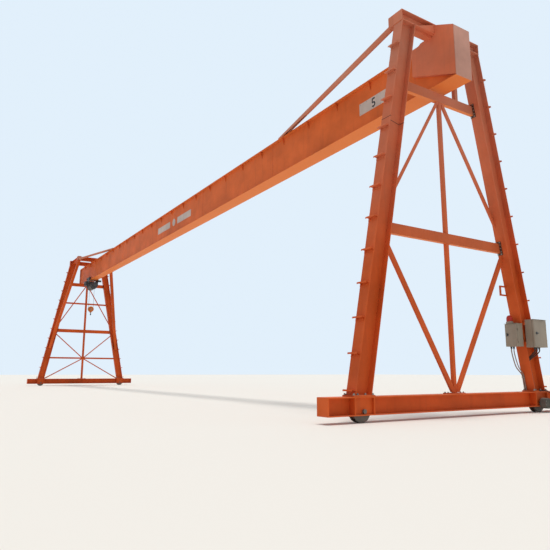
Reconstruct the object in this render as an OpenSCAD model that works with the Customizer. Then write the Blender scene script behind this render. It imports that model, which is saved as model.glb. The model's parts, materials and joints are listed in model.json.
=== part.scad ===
// Rail mounted single girder gantry crane with an underhung wire rope hoist.
// X runs along the girder with the slender frame at +X, Y runs along the rails, Z is up.
// The origin lies under the middle of the girder, level with the wheel flanges' lowest points.
// Sizes in millimetres.

/* [Overall] */
// Distance between the two rails, centre to centre
rail_gauge = 24750; // [12000:50:30000]
// Girder beyond the slender frame's middle plane
near_overhang = 500; // [350:10:900]
// Girder beyond the braced frame's middle plane
far_overhang = 1050; // [500:10:1500]
// Height of the girder's underside above the origin
girder_underside = 5510; // [5000:10:7000]
// Height of the sill beams' top above the origin
sill_top = 350; // [345:5:400]

/* [Girder] */
// Depth of the box girder over its flanges
girder_depth = 905; // [600:5:1200]
// Width of the girder's flanges
girder_flange_w = 390; // [360:5:450]
// Width of the girder over its two webs
girder_box_w = 256; // [220:2:270]
// Thickness of the girder's flanges
girder_flange_t = 16; // [10:1:25]
// Thickness of the girder's webs
girder_web_t = 8; // [6:1:14]
// Spacing of the gussets under the top flange
gusset_pitch = 1050; // [600:10:1500]
// Height of each gusset
gusset_h = 190; // [60:5:220]
// Thickness of each gusset
gusset_t = 8; // [6:1:12]
// Thickness of the girder's end plates
end_plate_t = 12; // [8:1:20]

/* [Frames] */
// Spacing of the legs' centres at the top of the sill
foot_spacing = 4075; // [3400:5:4400]
// Spacing of the legs' centres under the saddle beam
top_spacing = 1635; // [1500:5:2000]
// Width of the legs' flanges, along the girder
leg_w = 200; // [160:5:260]
// Depth of the legs over their flanges
leg_d = 294; // [250:2:350]
// Thickness of the legs' flanges
leg_flange_t = 12; // [8:1:20]
// Thickness of the legs' webs
leg_web_t = 8; // [6:1:14]
// Length of the saddle beams
saddle_len = 1950; // [1940:10:2200]
// Depth of the saddle beams
saddle_d = 190; // [160:5:260]
// Width of the saddle beams
saddle_w = 200; // [160:5:260]
// Gap between the girder and the saddle beams, filled by a packer
saddle_gap = 45; // [30:5:80]
// Depth of the wide top and middle ties
tie_d = 170; // [120:5:220]
// Width of the wide top and middle ties, along the girder
tie_w = 70; // [50:5:120]
// How far the slender frame's ties, post and braces lie towards the span from its middle plane
tie_back = 70; // [0:5:80]
// Gap between the girder and the top tie
top_tie_gap = 50; // [20:5:80]
// Height of the middle tie's underside above the sill
mid_tie_h = 2430; // [2000:10:2800]
// Height of the braced frame's upper thin tie above the sill
upper_thin_h = 3960; // [3500:10:4300]
// Height of the braced frame's lower thin tie above the sill
lower_thin_h = 1040; // [700:10:1500]
// Depth of the thin ties
thin_tie_d = 80; // [50:5:100]
// Width of the slender frame's centre post
near_post_w = 60; // [50:5:110]
// Width of the braced frame's centre post
far_post_w = 90; // [60:5:140]
// Wall thickness of the ties, posts, struts and stays
tube_t = 6; // [4:1:10]
// Width of the slender frame's upper braces
upper_brace_w = 55; // [40:5:80]
// Width of the slender frame's lower braces
lower_brace_w = 75; // [50:5:90]
// Width of the braced frame's braces
far_brace_w = 50; // [40:5:60]
// Thickness of all braces
brace_t = 8; // [5:1:10]
// Distance of the inner saddle beam from the braced frame's middle plane
strut_reach = 1420; // [900:10:1600]
// Width of the inner struts, along the girder
strut_w = 150; // [100:5:180]
// Depth of the inner struts, along the rails
strut_d = 130; // [100:5:180]
// Height above the sill where the inner struts come out of the legs
strut_foot_h = 2150; // [1800:10:2600]
// Length of the inner saddle beam
inner_saddle_len = 1850; // [1790:10:2100]
// Diameter of the stays
stay_dia = 100; // [70:5:120]
// Length of the slender frame's stays along the girder
near_stay_run = 4640; // [3500:10:6000]
// Length of the braced frame's stays along the girder
far_stay_run = 3460; // [2500:10:5000]

/* [Sills and wheels] */
// Length of the sill beams
sill_len = 5330; // [5000:10:6000]
// Width of the sill beams
sill_w = 250; // [220:5:300]
// Depth of the sill beams
sill_d = 250; // [235:5:300]
// Thickness of the sill beams' flanges
sill_flange_t = 14; // [10:1:20]
// Thickness of the sill beams' webs
sill_web_t = 9; // [7:1:14]
// Diameter of the travel wheels over the flanges
wheel_flange_dia = 310; // [290:5:320]
// Diameter of the travel wheels' tread
wheel_dia = 270; // [250:5:280]
// Width of the travel wheels' tread
wheel_w = 70; // [50:5:80]
// Diameter of the wheel axles
axle_dia = 60; // [40:2:80]

/* [Steps] */
// Distance between two steps
step_pitch = 516; // [400:2:600]
// Height of the first step above the sill
first_step = 50; // [50:5:200]
// How far a step stands out from the leg
step_reach = 70; // [50:5:140]
// Thickness of a step
step_t = 6; // [4:1:10]
// Depth of a step's turned down front edge
step_lip = 25; // [12:1:28]

/* [Hoist] */
// Place of the hoist along the girder at rest
hoist_x = -11000; // [-11000:50:11000]
// Height of the hook block's pulley axle above the origin at rest
hook_z = 3970; // [3800:10:4200]
// Diameter of the rope drum's shell
drum_dia = 330; // [280:5:360]
// Length of the rope drum's shell
drum_len = 640; // [500:10:800]
// Height of the drum's axis below the girder
drum_drop = 330; // [300:5:400]
// Diameter of the wire rope
rope_dia = 14; // [10:1:18]

/* [Cabinets] */
// Width of the left cabinet
left_cabinet_w = 220; // [200:10:300]
// Depth of the left cabinet with its door
left_cabinet_d = 180; // [150:10:250]
// Height of the left cabinet
left_cabinet_h = 400; // [300:10:500]
// Height of the left cabinet's underside above the sill
left_cabinet_z = 775; // [600:5:1200]
// Width of the right cabinet
right_cabinet_w = 370; // [280:10:400]
// Depth of the right cabinet with its door
right_cabinet_d = 160; // [140:10:250]
// Height of the right cabinet
right_cabinet_h = 480; // [350:10:550]
// Height of the right cabinet's underside above the sill
right_cabinet_z = 760; // [600:5:1200]
// How far the right cabinet's middle lies outside the leg's middle
right_cabinet_out = 40; // [0:5:60]

/* [Hidden] */
$fn = 48;

// Gap left between pieces that seat on one another
seat = 0.3;

girder_len = rail_gauge + near_overhang + far_overhang;
near_x = girder_len / 2 - near_overhang;
far_x = near_x - rail_gauge;
girder_top = girder_underside + girder_depth;
axle_z = wheel_flange_dia / 2;
foot_plate_t = 20;

// The legs lean towards each other in planes at this angle from the vertical
saddle_z = girder_top + saddle_gap;
leg_rise = saddle_z - sill_top;
lean = atan((foot_spacing - top_spacing) / 2 / leg_rise);

frame_orange = [0.85, 0.36, 0.12];
cabinet_grey = [0.74, 0.72, 0.66];
machine_grey = [0.25, 0.26, 0.27];
steel_grey = [0.45, 0.45, 0.46];

// Distance from the middle plane to a leg's axis at a height
function leg_y(z) = foot_spacing / 2 - (z - sill_top) * tan(lean);

// Half of a leg's depth, measured level
function leg_half() = leg_d / 2 / cos(lean);

// Outline in Y and Z carried along X
module along_x(x, length) {
    translate([x, 0, 0]) rotate([90, 0, 90]) linear_extrude(length) children();
}

// H shaped outline with its flanges facing up and down
module h_outline(w, d, flange_t, web_t) {
    for (side = [-1, 1])
        translate([-w / 2, side > 0 ? d / 2 - flange_t : -d / 2]) square([w, flange_t]);
    translate([-web_t / 2, -d / 2]) square([web_t, d]);
}

// Outline of a rectangular tube
module tube_outline(w, d) {
    difference() {
        square([w, d], center = true);
        square([w - 2 * tube_t, d - 2 * tube_t], center = true);
    }
}

// H beam along Y about the middle plane, with its underside at z
module h_beam_y(x, z, length, w, d, flange_t, web_t) {
    translate([x, length / 2, z + d / 2]) rotate([90, 0, 0])
        linear_extrude(length) h_outline(w, d, flange_t, web_t);
}

// The plane in which the legs of one side stand, with Z running up the legs
module leg_plane(x, side) {
    translate([x, side * foot_spacing / 2, sill_top]) rotate([side * lean, 0, 0]) children();
}

// Keeps what lies between two heights
module between(low, high) {
    intersection() {
        children();
        translate([-girder_len, -sill_len, low]) cube([2 * girder_len, 2 * sill_len, high - low]);
    }
}

// Keeps what lies between the two legs of a frame, clear of them by the seat
module inside_legs(x, w, low, high) {
    y_low = leg_y(low) - leg_half() - seat;
    y_high = leg_y(high) - leg_half() - seat;
    intersection() {
        children();
        translate([x - w / 2, 0, 0]) rotate([90, 0, 90]) linear_extrude(w)
            polygon([[-y_low, low], [y_low, low], [y_high, high], [-y_high, high]]);
    }
}

// Leg of one side, cut level at its foot and its head
module leg(x, side) {
    run = (leg_rise + 2 * leg_d) / cos(lean);
    plate_l = leg_d * 1.3;
    color(frame_orange) {
        between(sill_top + foot_plate_t / 2, saddle_z - seat)
            leg_plane(x, side) translate([0, 0, -leg_d]) linear_extrude(run)
                h_outline(leg_w, leg_d, leg_flange_t, leg_web_t);
        translate([x - sill_w / 2, side * foot_spacing / 2 - plate_l / 2, sill_top + seat])
            cube([sill_w, plate_l, foot_plate_t]);
    }
}

// Shelf shaped steps up the outer flange of one leg, each with its front edge turned down
module steps(x, side) {
    count = floor((leg_rise / cos(lean) - first_step - step_t) / step_pitch) + 1;
    color(frame_orange) leg_plane(x, side)
        for (i = [0:count - 1])
            translate([-leg_w / 2, side * (leg_d / 2 + seat), first_step + i * step_pitch]) {
                translate([0, side > 0 ? 0 : -step_reach, 0]) cube([leg_w, step_reach, step_t]);
                translate([0, side > 0 ? step_reach - step_t : -step_reach, step_t - step_lip])
                    cube([leg_w, step_t, step_lip]);
            }
}

// Sill beam with stiffeners under the legs, end plates and the two wheel boxes
module sill(x) {
    low = sill_top - sill_d;
    pocket_l = wheel_flange_dia + 20;
    pocket_w = wheel_w + 60;
    cheek_t = 16;
    stiffener_t = 12;
    bore_dia = axle_dia + 1;
    color(frame_orange) difference() {
        union() {
            h_beam_y(x, low, sill_len, sill_w, sill_d, sill_flange_t, sill_web_t);
            for (side = [-1, 1]) {
                for (dy = [-1, 1])
                    translate([x - sill_w / 2,
                               side * foot_spacing / 2 + dy * (pocket_l / 2 + cheek_t / 2) - cheek_t / 2, low])
                        cube([sill_w, cheek_t, sill_d]);
                translate([x - sill_w / 2, side * (sill_len - stiffener_t) / 2 - stiffener_t / 2, low])
                    cube([sill_w, stiffener_t, sill_d]);
                translate([x - pocket_w / 2 - cheek_t, side * foot_spacing / 2 - pocket_l / 2 - 1, low])
                    cube([pocket_w + 2 * cheek_t, pocket_l + 2, sill_d]);
            }
        }
        for (side = [-1, 1]) {
            translate([x - pocket_w / 2, side * foot_spacing / 2 - pocket_l / 2, low - 1])
                cube([pocket_w, pocket_l, sill_d - sill_flange_t + 1]);
            translate([x - sill_w, side * foot_spacing / 2, axle_z]) rotate([0, 90, 0])
                cylinder(d = bore_dia, h = 2 * sill_w);
        }
    }
}

// Travel wheel with two flanges, keyed to an axle that turns in the wheel box
module travel_wheel(x, side) {
    flange_w = 18;
    color(steel_grey) translate([x, side * foot_spacing / 2, axle_z])
        rotate([0, 90, 0]) {
            cylinder(d = wheel_dia, h = wheel_w, center = true);
            for (dz = [-1, 1])
                translate([0, 0, dz * (wheel_w + flange_w) / 2])
                    cylinder(d = wheel_flange_dia, h = flange_w, center = true);
            cylinder(d = axle_dia, h = sill_w, center = true);
        }
}

// Saddle beam across the heads of two legs, with its packer on the girder
module saddle_beam(x, length) {
    h_beam_y(x, saddle_z, length, saddle_w, saddle_d, leg_flange_t, leg_web_t);
    for (side = [-1, 1])
        translate([x - saddle_w / 2, side * (length - leg_web_t) / 2 - leg_web_t / 2, saddle_z])
            cube([saddle_w, leg_web_t, saddle_d]);
    translate([x - saddle_w / 2, -girder_flange_w / 2, girder_top])
        cube([saddle_w, girder_flange_w, saddle_gap + 1]);
}

// Wide tie between two legs, a closed box
module wide_tie(x, z) {
    color(frame_orange) inside_legs(x, leg_w, z, z + tie_d)
        translate([x, foot_spacing / 2, z + tie_d / 2]) rotate([90, 0, 0])
            linear_extrude(foot_spacing) tube_outline(tie_w, tie_d);
}

// Angle bar that reaches past both of two points in a frame's plane
module angle_bar(a, b, w) {
    d = b - a;
    translate(a) rotate([-atan2(d.y, d.z), 0, 0]) translate([0, 0, -w])
        linear_extrude(norm(d) + 2 * w) {
            translate([-w / 2, -brace_t / 2]) square([w, brace_t]);
            translate([w / 2 - brace_t, -w / 2]) square([brace_t, w]);
        }
}

// Two like braces, one each side of the centre post, cut by the legs, the post and two heights
module brace_pair(x, high_end, low_end, high, low, w, post_w) {
    color(frame_orange) for (side = [-1, 1])
        difference() {
            inside_legs(x, leg_w, low + seat, high - seat)
                angle_bar([x, side * high_end.x, high_end.y], [x, side * low_end.x, low_end.y], w);
            translate([x - post_w, -post_w / 2 - seat, 0])
                cube([2 * post_w, post_w + 2 * seat, girder_underside]);
        }
}

top_tie_z = girder_underside - top_tie_gap - tie_d;
mid_tie_z = sill_top + mid_tie_h;
near_tie_x = near_x - tie_back;

// Centre post of a frame, from the sill to the top tie, with the middle tie between its two parts
module center_post(x, w) {
    color(frame_orange) for (span = [[sill_top, mid_tie_z], [mid_tie_z + tie_d, top_tie_z]])
        translate([x, 0, span[0] + seat])
            linear_extrude(span[1] - span[0] - 2 * seat) tube_outline(w, w);
}

module near_sill() { sill(near_x); }
module near_left_leg() { leg(near_x, -1); }
module near_right_leg() { leg(near_x, 1); }

// Underside of the flat bar under the slender frame's saddle beam
bar_low = girder_top + 5;

haunch_t = 12;
haunch_back = 450;
haunch_slope = 22.5;
haunch_front = near_overhang - end_plate_t - seat;
haunch_low = girder_flange_t + seat - girder_depth;
haunch_rise = (haunch_front + haunch_back) * tan(haunch_slope);

// Outline of a haunch plate, from the slender frame's middle plane and the girder's top
module haunch_outline() {
    tip = 15;
    curve_r = 90;
    curve_x = -305;
    under_saddle = saddle_gap + 1;
    top = saddle_gap + saddle_d * 0.9;
    difference() {
        polygon([[haunch_front, haunch_low], [haunch_front, tip], [saddle_w / 2, top], [0, top],
                 [0, under_saddle], [curve_x, under_saddle], [curve_x, tip], [-haunch_back, tip],
                 [-haunch_back, haunch_low + haunch_rise]]);
        translate([curve_x, tip + curve_r]) circle(r = curve_r);
    }
}

// Outline of the sloping strip that closes a haunch plate's lower edge against the web
module haunch_strip_outline() {
    strip_h = 11;
    polygon([[haunch_front, haunch_low], [haunch_front, haunch_low + strip_h],
             [-haunch_back, haunch_low + haunch_rise + strip_h],
             [-haunch_back, haunch_low + haunch_rise]]);
}

// Saddle beam with a flat bar under it, and the haunch plates over the girder's short end
module near_saddle_beam() {
    bar_w = 120;
    web_face = girder_box_w / 2 + seat;
    plate_face = girder_flange_w / 2 - haunch_t + 1;
    color(frame_orange) {
        saddle_beam(near_x, saddle_len);
        inside_legs(near_x, saddle_w, bar_low, saddle_z + 1)
            translate([near_x - saddle_w / 2, -foot_spacing / 2, bar_low])
                cube([bar_w, foot_spacing, saddle_z + 1 - bar_low]);
        for (side = [-1, 1]) {
            translate([near_x, side * (girder_flange_w - haunch_t) / 2 + haunch_t / 2, girder_top])
                rotate([90, 0, 0]) linear_extrude(haunch_t) haunch_outline();
            translate([near_x, side * (web_face + plate_face) / 2 + (plate_face - web_face) / 2, girder_top])
                rotate([90, 0, 0]) linear_extrude(plate_face - web_face) haunch_strip_outline();
        }
    }
}

// Top and middle ties, with the hanger from the saddle beam's flat bar on the top one
module near_wide_ties() {
    hanger_w = 70;
    hanger_y = girder_flange_w / 2 + 250;
    hanger_low = top_tie_z + tie_d - tube_t / 2;
    wide_tie(near_tie_x, mid_tie_z);
    wide_tie(near_tie_x, top_tie_z);
    color(frame_orange)
        translate([near_tie_x - hanger_w / 2, hanger_y - hanger_w / 2, hanger_low])
            cube([hanger_w, hanger_w, bar_low - seat - hanger_low]);
}
module near_center_post() { center_post(near_tie_x, near_post_w); }

// Four braces of the slender frame: two down from the top tie, two down from the middle tie
module near_braces() {
    beside_post = (near_post_w + upper_brace_w) / 2;
    leg_inside = leg_y(mid_tie_z) - leg_half() / 2;
    brace_pair(near_tie_x, [beside_post, top_tie_z], [leg_y(mid_tie_z + tie_d), mid_tie_z + tie_d],
               top_tie_z, mid_tie_z + tie_d, upper_brace_w, near_post_w);
    brace_pair(near_tie_x, [leg_inside, mid_tie_z], [near_post_w / 2, sill_top],
               mid_tie_z, sill_top + foot_plate_t, lower_brace_w, near_post_w);
}

module far_sill() { sill(far_x); }
module far_left_leg() { leg(far_x, -1); }
module far_right_leg() { leg(far_x, 1); }

// Struts that come out of the legs below the middle tie and reach the inner saddle beam
module far_inner_struts() {
    foot = strut_foot_h / cos(lean);
    head = leg_rise / cos(lean);
    out_x = leg_w / 2 + strut_w / 2;
    tilt = atan((strut_reach - out_x) / (head - foot));
    reach_down = 3 * leg_w;
    color(frame_orange) for (side = [-1, 1])
        between(sill_top, saddle_z - seat)
            difference() {
                leg_plane(far_x, side)
                    translate([out_x, 0, foot]) rotate([0, tilt, 0]) translate([0, 0, -reach_down])
                        linear_extrude((head - foot) / cos(tilt) + reach_down + leg_w)
                            tube_outline(strut_w, strut_d);
                leg_plane(far_x, side)
                    translate([-2 * leg_w, -leg_d, -leg_d])
                        cube([2 * leg_w + leg_web_t / 2 + seat, 2 * leg_d, 2 * head]);
            }
}

// Outer and inner saddle beams over the girder
module far_saddle_beams() {
    color(frame_orange) {
        saddle_beam(far_x, saddle_len);
        saddle_beam(far_x + strut_reach, inner_saddle_len);
    }
}

// Side beams between the two saddle beams, over the legs and struts
module far_saddle_sides() {
    color(frame_orange) for (side = [-1, 1])
        translate([0, side * top_spacing / 2, saddle_z + saddle_d / 2])
            along_x(far_x + saddle_w / 2 + seat, strut_reach - saddle_w - 2 * seat)
                h_outline(strut_d, saddle_d, leg_flange_t, leg_web_t);
}

// Two wide ties, and two thin ties that the centre post divides
module far_ties() {
    wide_tie(far_x, top_tie_z);
    wide_tie(far_x, mid_tie_z);
    color(frame_orange) for (h = [upper_thin_h, lower_thin_h])
        for (side = [0, 1]) mirror([0, side, 0])
            inside_legs(far_x, leg_w, sill_top + h, sill_top + h + thin_tie_d)
                translate([far_x + seat / 2, far_post_w / 2 + seat, sill_top + h])
                    cube([far_brace_w, foot_spacing, thin_tie_d]);
}
module far_center_post() { center_post(far_x, far_post_w); }

// Thin braces of the braced frame, in three tiers, passing behind the thin ties
module far_braces() {
    beside_post = (far_post_w + far_brace_w) / 2;
    joint_z = sill_top + lower_thin_h + thin_tie_d / 2;
    side_shift = -far_brace_w / 2 - seat / 2;
    translate([side_shift, 0, 0]) {
        brace_pair(far_x, [beside_post, top_tie_z], [leg_y(mid_tie_z + tie_d), mid_tie_z + tie_d],
                   top_tie_z, mid_tie_z + tie_d, far_brace_w, far_post_w);
        brace_pair(far_x, [leg_y(mid_tie_z), mid_tie_z], [beside_post, joint_z + far_brace_w],
                   mid_tie_z, joint_z + seat, far_brace_w, far_post_w);
        brace_pair(far_x, [beside_post, joint_z - far_brace_w], [leg_y(sill_top) - leg_d / 2, sill_top],
                   joint_z - seat, sill_top + foot_plate_t + seat, far_brace_w, far_post_w);
    }
}

// Shelf shaped steps up all four legs
module leg_steps() {
    for (x = [near_x, far_x])
        for (side = [-1, 1]) steps(x, side);
}

girder_x0 = -girder_len / 2 + end_plate_t + seat;
girder_inner_len = girder_len - 2 * (end_plate_t + seat);

module girder_webs() {
    color(frame_orange) for (side = [-1, 1])
        translate([girder_x0, side * (girder_box_w - girder_web_t) / 2 - girder_web_t / 2,
                   girder_underside + girder_flange_t])
            cube([girder_inner_len, girder_web_t, girder_depth - 2 * girder_flange_t]);
}

// Top flange, cut back where the haunch plates stand beside the webs
module girder_top_flange() {
    notch_x = near_x - haunch_back - 2;
    color(frame_orange) difference() {
        translate([girder_x0, -girder_flange_w / 2, girder_top - girder_flange_t])
            cube([girder_inner_len, girder_flange_w, girder_flange_t - seat]);
        for (side = [-1, 1])
            translate([notch_x, side * girder_flange_w / 2 - haunch_t - seat, girder_top - 2 * girder_flange_t])
                cube([girder_len, 2 * (haunch_t + seat), 3 * girder_flange_t]);
    }
}
module girder_bottom_flange() {
    color(frame_orange) translate([girder_x0, -girder_flange_w / 2, girder_underside])
        cube([girder_inner_len, girder_flange_w, girder_flange_t]);
}
module girder_end_plates() {
    color(frame_orange) for (side = [-1, 1])
        translate([side * (girder_len - end_plate_t) / 2 - end_plate_t / 2, -girder_flange_w / 2,
                   girder_underside])
            cube([end_plate_t, girder_flange_w, girder_depth]);
}

// Triangular gussets between the webs and the top flange, at an even spacing, up to the haunch
module girder_gussets() {
    lip = (girder_flange_w - girder_box_w) / 2;
    pairs = floor(girder_inner_len / 2 / gusset_pitch);
    last_x = near_x - haunch_back - gusset_t;
    color(frame_orange) for (side = [-1, 1])
        for (i = [-pairs:pairs - 1])
            if ((i + 0.5) * gusset_pitch < last_x)
                translate([0, side * (girder_box_w / 2 + seat), girder_top - girder_flange_t - seat])
                    along_x((i + 0.5) * gusset_pitch - gusset_t / 2, gusset_t)
                        polygon([[0, 0], [side * (lip - seat), 0], [0, -gusset_h]]);
}

stay_box = [120, 160, 195];
stay_box_z = saddle_z + saddle_d - stay_box.z;
stay_y = saddle_len / 2 - stay_box.y / 2;
inner_stay_y = inner_saddle_len / 2 - stay_box.y / 2;
stay_z = stay_box_z + stay_dia / 2;

// One stay from its bracket to the girder's top edge
module stay(x, direction, y, run, side) {
    a = [x, side * y, stay_z];
    b = [x + direction * run, side * (girder_flange_w - stay_dia) / 2, girder_top + stay_dia / 4];
    d = b - a;
    span = norm(d) + stay_dia;
    color(frame_orange) intersection() {
        translate(a) rotate([0, 0, atan2(d.y, d.x)]) rotate([0, acos(d.z / norm(d)), 0])
            translate([0, 0, -stay_dia]) difference() {
                cylinder(d = stay_dia, h = span + stay_dia);
                translate([0, 0, -1]) cylinder(d = stay_dia - 2 * tube_t, h = span + stay_dia + 2);
            }
        translate([direction > 0 ? x + seat : x - seat - 2 * run, -saddle_len, girder_top + seat])
            cube([2 * run, 2 * saddle_len, 2 * saddle_d]);
    }
}
near_stay_x = near_x - saddle_w / 2 - seat - stay_box.x;
far_stay_x = far_x + strut_reach + saddle_w / 2 + seat + stay_box.x;
module girder_stays() {
    for (side = [-1, 1]) {
        stay(near_stay_x, -1, stay_y, near_stay_run, side);
        stay(far_stay_x, 1, inner_stay_y, far_stay_run, side);
    }
}

// Boxes on the saddle beams that take the heads of the stays
module stay_brackets() {
    color(frame_orange) for (at = [[near_stay_x, stay_y], [far_stay_x - stay_box.x, inner_stay_y]])
        for (side = [-1, 1])
            translate([at.x, side * at.y - stay_box.y / 2, stay_box_z]) cube(stay_box);
}

plate_z = girder_underside + girder_depth * 0.33;
capacity_plate_x = near_x - 1550;

// Plates on the webs, left plain: the capacity plate near the end, two long ones and a small disc
module web_plates() {
    plate_t = 3;
    capacity_plate = [830, 250];
    long_plate_h = 230;
    // Length of each long plate, and where it starts on the left and on the right web
    long_plates = [[1170, 1040, -2210], [1220, -850, -370]];
    disc_dia = 260;
    disc_at = [725, 120];
    color(cabinet_grey) for (side = [-1, 1])
        translate([0, side * (girder_box_w / 2 + seat + plate_t / 2), plate_z])
            rotate([90, 0, 0]) linear_extrude(plate_t, center = true) {
                translate([capacity_plate_x - capacity_plate.x / 2, 0]) square(capacity_plate);
                for (plate = long_plates)
                    translate([side > 0 ? plate[2] : plate[1], 0]) square([plate[0], long_plate_h]);
                translate([-side * disc_at.x, disc_at.y]) circle(d = disc_dia);
            }
}

module near_left_wheel() { travel_wheel(near_x, -1); }
module near_right_wheel() { travel_wheel(near_x, 1); }
module far_left_wheel() { travel_wheel(far_x, -1); }
module far_right_wheel() { travel_wheel(far_x, 1); }

drive_case_w = 110;
drive_case_dia = 180;
drive_motor_dia = 150;
drive_offset = 140;

// Gear cases on the sills over the right wheels' axles, on the side away from the span
module travel_gear_cases() {
    color(machine_grey) for (end = [[near_x, 1], [far_x, -1]])
        translate([0, foot_spacing / 2, axle_z])
            along_x(end[1] > 0 ? end[0] + sill_w / 2 + seat : end[0] - sill_w / 2 - seat - drive_case_w,
                    drive_case_w) {
                circle(d = drive_case_dia);
                translate([0, -drive_motor_dia / 2]) square([drive_offset, drive_motor_dia]);
                translate([drive_offset, 0]) circle(d = drive_motor_dia);
            }
}

// Motors on the outer faces of the gear cases, with their terminal boxes
module travel_motors() {
    motor_l = 230;
    face = sill_w / 2 + 2 * seat + drive_case_w;
    terminal_box = [110, 90, 45];
    color(machine_grey) for (end = [[near_x, 1], [far_x, -1]]) {
        start = end[1] > 0 ? end[0] + face : end[0] - face - motor_l;
        translate([start, foot_spacing / 2 + drive_offset, axle_z]) {
            rotate([0, 90, 0]) cylinder(d = drive_motor_dia, h = motor_l);
            translate([(motor_l - terminal_box.x) / 2, -terminal_box.y / 2, drive_motor_dia / 2 - 15])
                cube(terminal_box);
        }
    }
}

hoist_plate_t = 12;
hoist_half_w = girder_flange_w / 2 + 25;
drum_z = girder_underside - drum_drop;

// Trolley: side plates with four wheels on the bottom flange, and two yokes that hold the drum
module hoist_trolley() {
    roller_dia = 120;
    roller_w = 46;
    plate_l = 560;
    yoke_t = 14;
    yoke_h = drum_dia / 2 + 60;
    plate_h = drum_drop + girder_flange_t + roller_dia;
    color(machine_grey) {
        for (side = [-1, 1]) {
            translate([hoist_x - plate_l / 2, side > 0 ? hoist_half_w : -hoist_half_w - hoist_plate_t, drum_z])
                cube([plate_l, hoist_plate_t, plate_h]);
            for (dx = [-1, 1])
                translate([hoist_x + dx * plate_l * 0.3, side * (hoist_half_w + 1),
                           girder_underside + girder_flange_t + roller_dia / 2 + seat])
                    rotate([side * 90, 0, 0]) cylinder(d = roller_dia, h = roller_w + 25);
        }
        for (dx = [-1, 1])
            translate([0, 0, drum_z])
                along_x(hoist_x + dx * (plate_l / 2 - 60) - yoke_t / 2, yoke_t)
                    difference() {
                        translate([-hoist_half_w - 1, 0]) square([2 * hoist_half_w + 2, yoke_h]);
                        circle(d = drum_dia + 2 * seat);
                    }
    }
}
module hoist_drum() {
    color(machine_grey) translate([hoist_x - drum_len / 2, 0, drum_z]) rotate([0, 90, 0])
        cylinder(d = drum_dia, h = drum_len);
}

// Motor at one end of the drum, with its stepped end cover
module hoist_motor() {
    motor_l = 260;
    cover_l = 60;
    color(machine_grey) translate([hoist_x + drum_len / 2 + seat, 0, drum_z]) rotate([0, 90, 0]) {
        cylinder(d = drum_dia * 0.85, h = motor_l);
        cylinder(d = drum_dia * 0.6, h = motor_l + cover_l);
    }
}

// Gearbox at the other end of the drum
module hoist_gearbox() {
    gearbox_l = 130;
    cover_l = 60;
    color(machine_grey) translate([hoist_x - drum_len / 2 - seat, 0, drum_z]) rotate([0, -90, 0]) {
        cylinder(d = drum_dia * 0.95, h = gearbox_l);
        cylinder(d = drum_dia * 0.7, h = gearbox_l + cover_l);
    }
}

sheave_dia = 240;

// Two falls of rope between the drum and the hook block's pulley
module rope() {
    fall_y = sheave_dia / 2;
    drum_drop_at_fall = sqrt(pow(drum_dia / 2, 2) - pow(fall_y - rope_dia / 2, 2));
    color("dimgray") for (side = [-1, 1])
        translate([hoist_x, side * fall_y, hook_z])
            cylinder(d = rope_dia, h = drum_z - drum_drop_at_fall - seat - hook_z);
}

block_foot = 165;

// Pulley between two cheeks, with the crosshead that carries the hook
module hook_block() {
    cheek_t = 14;
    cheek_dia = sheave_dia + 50;
    block_w = 90;
    crosshead_h = 60;
    color(frame_orange) {
        translate([hoist_x - block_w / 2 + cheek_t / 2, 0, hook_z]) rotate([0, 90, 0])
            cylinder(d = sheave_dia - rope_dia - 2 * seat, h = block_w - cheek_t);
        for (dx = [-block_w / 2, block_w / 2 - cheek_t])
            translate([0, 0, hook_z]) along_x(hoist_x + dx, cheek_t) {
                circle(d = cheek_dia);
                translate([-50, -block_foot]) square([100, block_foot]);
            }
        translate([hoist_x - block_w / 2 + 1, -50, hook_z - block_foot])
            cube([block_w - 2, 100, crosshead_h]);
    }
}
module hook() {
    shank_l = 20;
    shank_dia = 34;
    bow_dia = 38;
    bow_r = 52;
    foot_z = hook_z - block_foot;
    color(machine_grey) {
        translate([hoist_x, 0, foot_z - shank_l - bow_dia / 2])
            cylinder(d = shank_dia, h = shank_l + bow_dia / 2 - seat);
        translate([hoist_x, 0, foot_z - shank_l - bow_dia / 2 - bow_r]) rotate([90, 0, 0])
            rotate([0, 0, 90]) rotate_extrude(angle = -270) translate([bow_r, 0]) circle(d = bow_dia);
    }
}

rail_t = 30;
door_t = 25;
door_gap = 5;
hinge_dia = 16;
hinge_pin_dia = 8;
hinge_h = 30;
hinge_out = 12;
canopy_t = 6;
left_cabinet_low = sill_top + left_cabinet_z;
left_cabinet_top = left_cabinet_low + left_cabinet_h;
left_cabinet_y = leg_y(left_cabinet_top) - leg_half() - 8;
right_cabinet_low = sill_top + right_cabinet_z;
right_cabinet_y = leg_y(right_cabinet_low + right_cabinet_h / 2) + right_cabinet_out - right_cabinet_w / 2;

// The left cabinet's door faces along the rails, the right one's along the girder
module left_cabinet_place() {
    translate([near_x - left_cabinet_w / 2, left_cabinet_y, left_cabinet_low]) rotate([0, 0, -90]) children();
}
module right_cabinet_place() {
    translate([near_x + leg_w / 2 + rail_t, right_cabinet_y, right_cabinet_low]) children();
}

// Box of a cabinet under a thin canopy, with two hinge pins beside its front
module cabinet_body(w, d, h) {
    body_d = d - door_t - door_gap;
    canopy_out = 8;
    color(cabinet_grey) {
        cube([body_d, w, h]);
        translate([0, -canopy_out, h - canopy_t]) cube([d + canopy_out, w + 2 * canopy_out, canopy_t]);
        for (z = [h * 0.15, h * 0.85 - 2 * hinge_h])
            translate([body_d, w + hinge_out, z]) {
                cylinder(d = hinge_dia, h = hinge_h);
                cylinder(d = hinge_pin_dia, h = 2 * hinge_h);
                translate([-hinge_dia, -hinge_out - 1, 0]) cube([hinge_dia, hinge_out + 1, hinge_h]);
            }
    }
}

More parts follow.
